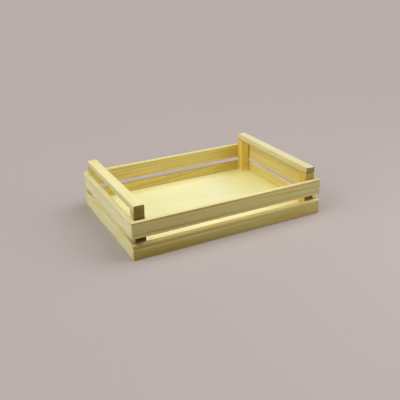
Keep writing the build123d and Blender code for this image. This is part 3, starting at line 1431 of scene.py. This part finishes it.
@dataclass(frozen=True)
class Studio:
    """The floor that the crate stands on, the lamps, and the backdrop past the floor.

    The floor shows the backdrop's colour and sends back less light than that, as a dull cloth does. level is
    how brightly the lamps light it, where 1 shows a colour as it is written.
    """

    backdrop: Colour = (0.497, 0.434, 0.413)
    level: float = 1.08
    bounce: Colour = (0.268, 0.232, 0.179)
    floor_reach: float = 40.0
    floor_roughness: float = 0.9
    lamps: dict[str, WallLamp | TableLamp] = field(default_factory=lambda: {
        "left": WallLamp((-1.0, 0.0, 0.36), 1.31),
        "left_high": WallLamp((-0.5, 0.0, 1.0), 1.29),
        "right": WallLamp((1.0, 0.0, 1.0), 1.02),
        "right_high": WallLamp((0.5, 0.0, 1.0), 1.06),
        "front_right": TableLamp((0.6, -0.6, 0.5), 1.19),
    })

    def build(self) -> None:
        """Makes the floor, the lamps and the backdrop."""
        bm = bmesh.new()
        bmesh.ops.create_grid(bm, x_segments=1, y_segments=1, size=self.floor_reach)
        floor = mesh_object("studio_floor", bm)
        floor.data.materials.append(self._floor_cloth())
        for name, lamp in self.lamps.items():
            lamp.build(name)
        world = bpy.data.worlds.new("backdrop")
        world.use_nodes = True
        wiring = Wiring(world.node_tree)
        background = world.node_tree.nodes["Background"]
        background.inputs["Color"].default_value = opaque(self.backdrop)
        wiring.feed(background.inputs["Strength"], self._seen(wiring))
        bpy.context.scene.world = world

    def _seen(self, wiring: Wiring) -> Socket:
        """Which rays see the backdrop as it is.

        Args:
            wiring: the floor's or the backdrop's wiring.

        Returns:
            1 for a ray from the camera, off a shiny surface or through glass, else 0.
        """
        path = wiring.node("ShaderNodeLightPath").outputs
        seen = wiring.math("MAXIMUM", path["Is Camera Ray"], path["Is Glossy Ray"])
        return wiring.math("MAXIMUM", seen, path["Is Transmission Ray"])

    def _floor_cloth(self) -> bpy.types.Material:
        """The floor's finish.

        Returns:
            The material.
        """
        made, wiring, surface = new_finish("studio_floor")
        shown = tuple(part / self.level for part in self.backdrop)
        wiring.feed(surface.inputs["Base Color"], wiring.mix(self._seen(wiring), self.bounce, shown))
        surface.inputs["Roughness"].default_value = self.floor_roughness
        surface.inputs["Specular IOR Level"].default_value = 0.0
        return made


@dataclass(frozen=True)
class PictureCamera:
    """The camera, where the picture was taken from. Focal length is in pixels of the picture."""

    picture_width: float = 400.0
    focal: float = 565.65
    azimuth: float = math.radians(26.888)
    elevation: float = math.radians(24.032)
    roll: float = math.radians(-1.247)
    distance: float = 1147.47 * MM
    target: Triple = (-9.83 * MM, -24.02 * MM, 30.02 * MM)
    sensor: float = 36.0

    def build(self) -> None:
        """Makes the camera and gives it to the scene."""
        flat, fall = math.cos(self.elevation), math.sin(self.elevation)
        ahead = Vector((math.sin(self.azimuth) * flat, math.cos(self.azimuth) * flat, -fall))
        right = Vector((math.cos(self.azimuth), -math.sin(self.azimuth), 0.0))
        up = right.cross(ahead)
        cosine, sine = math.cos(self.roll), math.sin(self.roll)
        right, up = right * cosine + up * sine, up * cosine - right * sine
        data = bpy.data.cameras.new("picture")
        data.sensor_width = self.sensor
        data.lens = self.focal * self.sensor / self.picture_width
        camera = bpy.data.objects.new("picture", data)
        camera.matrix_world = Matrix.Translation(Vector(self.target) - ahead * self.distance) @ (
            Matrix((right, up, -ahead)).transposed().to_4x4()
        )
        bpy.context.scene.collection.objects.link(camera)
        bpy.context.scene.camera = camera


@dataclass
class LongSideSlats(Battens):
    """The four long slats. The lower front one has a waney upper edge."""

    along: GrainAlong = GrainAlong.X
    waney_node: str = "front_slat_lower"
    waney_edge: Wane = Wane(Corner.OUTER_UPPER, 4.8 * MM)

    def wane(self, node: str) -> Wane:
        """The round upper edge of the lower front slat."""
        return self.waney_edge if node == self.waney_node else Wane()

    def grains(self) -> dict[str, Grain]:
        """How each long slat was sawn, and its own tone and marks.

        Returns:
            The grain of each, by its node.
        """
        brown, rust = (0.70, 0.61, 0.44), (0.93, 0.80, 0.55)
        pale, painted_highlight = (1.07, 1.05, 1.12), (1.17, 1.25, 1.52)
        return {
            "front_slat_lower": Grain(
                58 * MM, -24 * MM, 0.01, 0.014, 3.0 * MM, first_year=0.6, figure=0.35, seed=1.0,
                tone=(0.94, 0.90, 0.60), end_tone=(1.23, 1.30, 1.95), drift=0.16,
                marks=(
                    # Painted highlight along the waney top edge, under the gap to the upper slat
                    Mark((0.0, 0.2, 0.5), (THROUGH, 2.0, 0.055), painted_highlight),
                    line(0.0, 0.41, THROUGH, 0.05, (0.86, 0.85, 0.84)),
                    # Painted shade in the gap beside the front left post
                    Mark((-0.468, 0.2, 0.5), (0.024, 2.0, 0.08), (0.50, 0.43, 0.30)),
                    line(-0.30, 0.30, 0.24, 0.035, brown),
                    line(-0.47, 0.42, 0.08, 0.16, (0.80, 0.83, 0.72)),
                    line(-0.20, 0.16, 0.38, 0.10, (1.30, 1.30, 1.55)),
                    line(-0.28, -0.24, 0.40, 0.20, (0.85, 0.87, 0.72)),
                    line(0.0, -0.38, THROUGH, 0.12, (0.90, 0.87, 0.74)),
                    line(0.30, -0.10, 0.12, 0.12, rust),
                ),
            ),
            "front_slat_upper": Grain(
                60 * MM, -26 * MM, 0.01, 0.014, 3.0 * MM, first_year=0.5, figure=0.5, seed=2.0,
                tone=(1.13, 1.12, 0.88), end_tone=(1.06, 1.08, 1.18), drift=0.16,
                marks=(
                    line(-0.25, 0.42, 0.38, 0.035, brown, -0.004),
                    line(0.30, 0.12, 0.20, 0.045, (0.86, 0.74, 0.50), -0.039),
                    line(-0.26, -0.29, 0.34, 0.035, brown, -0.014),
                    line(-0.15, 0.02, 0.40, 0.16, pale),
                    line(0.0, 0.26, THROUGH, 0.10, (1.10, 1.11, 1.17)),
                    line(0.0, -0.27, THROUGH, 0.07, (0.91, 0.89, 0.82)),
                    line(0.0, -0.46, 0.55, 0.06, (1.12, 1.10, 1.0)),
                    line(0.0, 0.52, THROUGH, 0.03, (0.95, 1.0, 1.18)),
                    line(0.45, 0.0, 0.09, 0.60, (0.96, 1.0, 1.16)),
                    line(0.36, 0.50, 0.16, 0.08, (0.84, 0.85, 0.78)),
                    line(0.49, 0.50, 0.045, 0.12, (0.74, 0.76, 0.88)),
                    # Painted shadow on the top where the front left post stands on it
                    Mark((-0.4525, 0.5, 0.5), (0.028, 0.35, 0.12), (0.45, 0.40, 0.30)),
                ),
            ),
            "back_slat_lower": Grain(
                -60 * MM, 26 * MM, 0.02, 0.014, 3.0 * MM, seed=3.0, tone=(1.04, 0.97, 0.53),
                end_tone=(1.0, 1.15, 2.0),
                marks=(line(0.36, 0.30, 0.08, 0.30, (0.95, 0.87, 0.70)),),
            ),
            "back_slat_upper": Grain(
                64 * MM, -28 * MM, 0.015, 0.012, 3.0 * MM, seed=4.0, tone=(1.09, 1.04, 0.75),
                end_tone=(1.0, 1.12, 1.5),
                marks=(
                    line(0.0, 0.52, THROUGH, 0.04, (0.92, 1.0, 1.25)),
                    line(0.42, 0.05, 0.14, 0.45, (0.93, 0.82, 0.42)),
                    line(-0.20, 0.33, 0.16, 0.12, (0.93, 0.90, 0.78)),
                ),
            ),
        }


@dataclass
class ShortSideSlats(Battens):
    """The four short slats."""

    def grains(self) -> dict[str, Grain]:
        """How each short slat was sawn, and its own tone and marks.

        Returns:
            The grain of each, by its node.
        """
        return {
            "left_slat_lower": Grain(
                62 * MM, 24 * MM, 0.02, 0.015, 3.0 * MM, figure=0.7, seed=5.0, tone=(1.13, 1.21, 1.22),
                marks=(
                    # Painted shade along the top edge, under the upper slat
                    line(0.0, 0.52, THROUGH, 0.04, (0.57, 0.57, 0.60)),
                    line(0.0, 0.38, THROUGH, 0.10, (1.07, 1.05, 1.0)),
                    line(-0.35, -0.36, 0.38, 0.18, (0.87, 0.91, 1.0)),
                ),
            ),
            "left_slat_upper": Grain(
                -60 * MM, -30 * MM, 0.03, 0.02, 3.2 * MM, figure=0.7, seed=6.0, tone=(1.19, 1.30, 1.49),
                marks=(
                    # Painted shadow of the handle bar along the top edge
                    line(0.0, 0.52, THROUGH, 0.04, (0.93, 0.85, 0.72)),
                    line(0.0, 0.29, THROUGH, 0.07, (0.90, 0.90, 0.88)),
                    line(0.45, 0.0, 0.25, 0.60, (1.03, 1.06, 1.15)),
                ),
            ),
            "right_slat_lower": Grain(
                60 * MM, -28 * MM, 0.02, 0.02, 3.0 * MM, figure=0.8, seed=7.0, tone=(0.97, 0.98, 0.69),
                marks=(
                    line(0.0, 0.36, THROUGH, 0.12, (0.92, 0.95, 1.0)),
                    line(0.0, 0.12, THROUGH, 0.10, (1.06, 1.05, 1.06)),
                ),
            ),
            "right_slat_upper": Grain(
                -62 * MM, 29 * MM, 0.02, 0.015, 3.1 * MM, figure=0.8, seed=8.0, tone=(0.91, 0.87, 0.61),
                marks=(
                    # Painted shadow of the handle bar along the top edge and the top of the face
                    line(0.0, 0.52, THROUGH, 0.04, (0.86, 0.82, 0.74)),
                    line(0.0, 0.36, THROUGH, 0.12, (0.91, 0.90, 0.76)),
                    line(0.10, 0.0, 0.30, 0.18, (1.05, 1.05, 1.06)),
                ),
            ),
        }


@dataclass
class CornerPosts(Battens):
    """The four posts."""

    along: GrainAlong = GrainAlong.Z
    slot: str = "post_pine"

    def grains(self) -> dict[str, Grain]:
        """How each post was sawn, and its own tone and marks.

        Returns:
            The grain of each, by its node.
        """
        darker_upper_front, painted_gap_shade = (0.44, 0.35, 0.15), (0.20, 0.08, 0.04)
        pins = (Knot(-0.17, -0.08, 1.1 * MM),)
        return {
            "post_front_left": Grain(
                30 * MM, 22 * MM, 0.03, 0.02, 2.2 * MM, seed=9.0, tone=(1.0, 1.02, 0.98),
                marks=(
                    # Darker towards the top of the front face
                    Mark((0.4, -0.5, 0.0), (0.45, 0.25, THROUGH), darker_upper_front),
                    # Painted shade where the post meets the top of the upper front slat
                    Mark((0.345, -0.5, 0.0), (0.045, 0.25, THROUGH), (0.50, 0.42, 0.20)),
                    Mark((0.4, 0.0, 0.5), (0.12, THROUGH, 0.12), (0.87, 0.84, 0.86)),
                    # Painted shade in the gap between the front slats
                    Mark((-0.07, -0.5, 0.0), (0.12, 0.25, THROUGH), painted_gap_shade),
                ),
            ),
            "post_front_right": Grain(
                -34 * MM, 18 * MM, 0.02, 0.03, 2.4 * MM, seed=10.0, tone=(0.84, 0.75, 0.31),
                marks=(
                    # Painted shade in the gap between the front slats
                    Mark((-0.07, -0.5, 0.0), (0.12, 0.08, THROUGH), (0.45, 0.32, 0.12)),
                    # Painted light on the side, at the height of the gap between the slats
                    Mark((-0.09, 0.0, 0.5), (0.10, 0.50, 0.20), (1.40, 1.60, 2.30)),
                    # Painted shade where the post meets the top of the upper front slat
                    Mark((0.345, -0.5, 0.0), (0.03, 0.25, THROUGH), (0.74, 0.65, 0.44)),
                    Mark((0.47, -0.5, 0.0), (0.05, 0.25, THROUGH), (1.08, 1.14, 1.35)),
                    Mark((0.4, -0.5, 0.0), (0.2, 0.25, THROUGH), (0.92, 0.91, 1.12)),
                ),
            ),
            "post_back_left": Grain(
                26 * MM, -30 * MM, 0.02, 0.02, 2.2 * MM, seed=11.0, tone=(0.92, 0.96, 0.68),
                marks=(
                    Mark((0.4, -0.5, 0.0), (0.3, 0.25, THROUGH), (1.18, 1.17, 1.38)),
                    Mark((0.4, 0.0, 0.5), (0.3, THROUGH, 0.12), (0.80, 0.76, 0.60)),
                ),
            ),
            "post_back_right": Grain(
                -28 * MM, -26 * MM, 0.03, 0.02, 2.3 * MM, figure=0.8, seed=12.0, tone=(1.07, 0.93, 0.39),
                knots=pins,
                marks=(
                    Mark((0.0, -0.5, 0.0), (THROUGH, 0.3, THROUGH), (1.12, 1.13, 1.16)),
                    # Painted shade in the corner where the post meets the right wall
                    Mark((0.0, -0.5, -0.5), (THROUGH, 0.3, 0.16), (0.78, 0.72, 0.56)),
                    Mark((-0.36, 0.0, 0.0), (0.05, THROUGH, THROUGH), (1.15, 1.48, 2.80)),
                    # Painted shadow of the handle bar on the top of the post
                    Mark((0.3, -0.5, -0.5), (0.35, 0.3, 0.17), (0.58, 0.50, 0.24)),
                    Mark((0.22, -0.07, 0.5), (0.012, 0.06, 0.3), (0.66, 0.62, 0.55)),
                    Mark((0.0, 0.0, 0.5), (THROUGH, THROUGH, 0.10), (0.88, 0.91, 0.98)),
                ),
            ),
        }


@dataclass
class HandleBars(Battens):
    """The two handle bars, with softer edges for the hand."""

    slot: str = "post_pine"
    edge_radius: float = 1.6 * MM

    def grains(self) -> dict[str, Grain]:
        """How each handle bar was sawn, and its own tone and marks.

        Returns:
            The grain of each, by its node.
        """
        return {
            "handle_bar_left": Grain(
                20 * MM, 45 * MM, 0.02, 0.03, 2.5 * MM, figure=0.35, seed=13.0, tone=(1.07, 1.13, 1.08),
                end_tone=(0.48, 0.37, 0.21),
                marks=(
                    Mark((0.0, 0.5, 0.0), (THROUGH, 0.22, 0.6), (0.92, 0.94, 0.88)),
                    Mark((-0.5, 0.0, 0.5), (0.006, THROUGH, 0.15), (0.70, 0.66, 0.55)),
                ),
            ),
            "handle_bar_right": Grain(
                -24 * MM, -40 * MM, 0.02, 0.02, 2.5 * MM, figure=0.35, seed=14.0, tone=(0.89, 0.89, 0.84),
                end_tone=(0.69, 0.75, 0.78),
                marks=(
                    line(0.0, 0.5, THROUGH, 0.12, (1.02, 1.09, 1.24)),
                    Mark((0.0, 0.5, 0.5), (THROUGH, 0.22, 0.22), (0.95, 0.91, 0.80)),
                    line(0.0, -0.43, THROUGH, 0.13, (0.79, 0.66, 0.40)),
                ),
            ),
        }


@dataclass
class FloorCleats(Battens):
    """The three flat cleats under the floor."""

    slot: str = "cleat_pine"
    edge_radius: float = 0.8 * MM

    def grains(self) -> dict[str, Grain]:
        """How each cleat was sawn, and its own tone.

        Returns:
            The grain of each, by its node.
        """
        return {
            "floor_cleat_left": Grain(
                10 * MM, 60 * MM, 0.02, 0.03, 3.0 * MM, seed=15.0, tone=(0.98, 0.96, 0.76),
            ),
            "floor_cleat_middle": Grain(
                -12 * MM, -55 * MM, 0.02, 0.02, 3.0 * MM, seed=16.0, tone=(0.95, 0.93, 0.72),
            ),
            "floor_cleat_right": Grain(
                8 * MM, 50 * MM, 0.02, 0.02, 3.0 * MM, seed=17.0, tone=(1.0, 0.98, 0.79),
            ),
        }


def main() -> None:
    """Builds the camera, the studio and every piece of the crate in order."""
    logging.basicConfig(level=logging.INFO, format="%(name)s: %(message)s")
    bpy.context.scene.view_settings.view_transform = "Standard"
    PictureCamera().build()
    Studio().build()
    brads = BradGroups()
    workshop = Workshop(brads, BattenTree())
    makers = (LongSideSlats, ShortSideSlats, CornerPosts, HandleBars, FloorCleats, FloorPanel)
    pieces = [piece for maker in makers for piece in maker(workshop).build()]
    pieces += brads.build()
    for piece in pieces:
        piece.data.calc_loop_triangles()
        log.info("%s: %d triangles", piece.name, len(piece.data.loop_triangles))


if __name__ == "__main__":
    main()
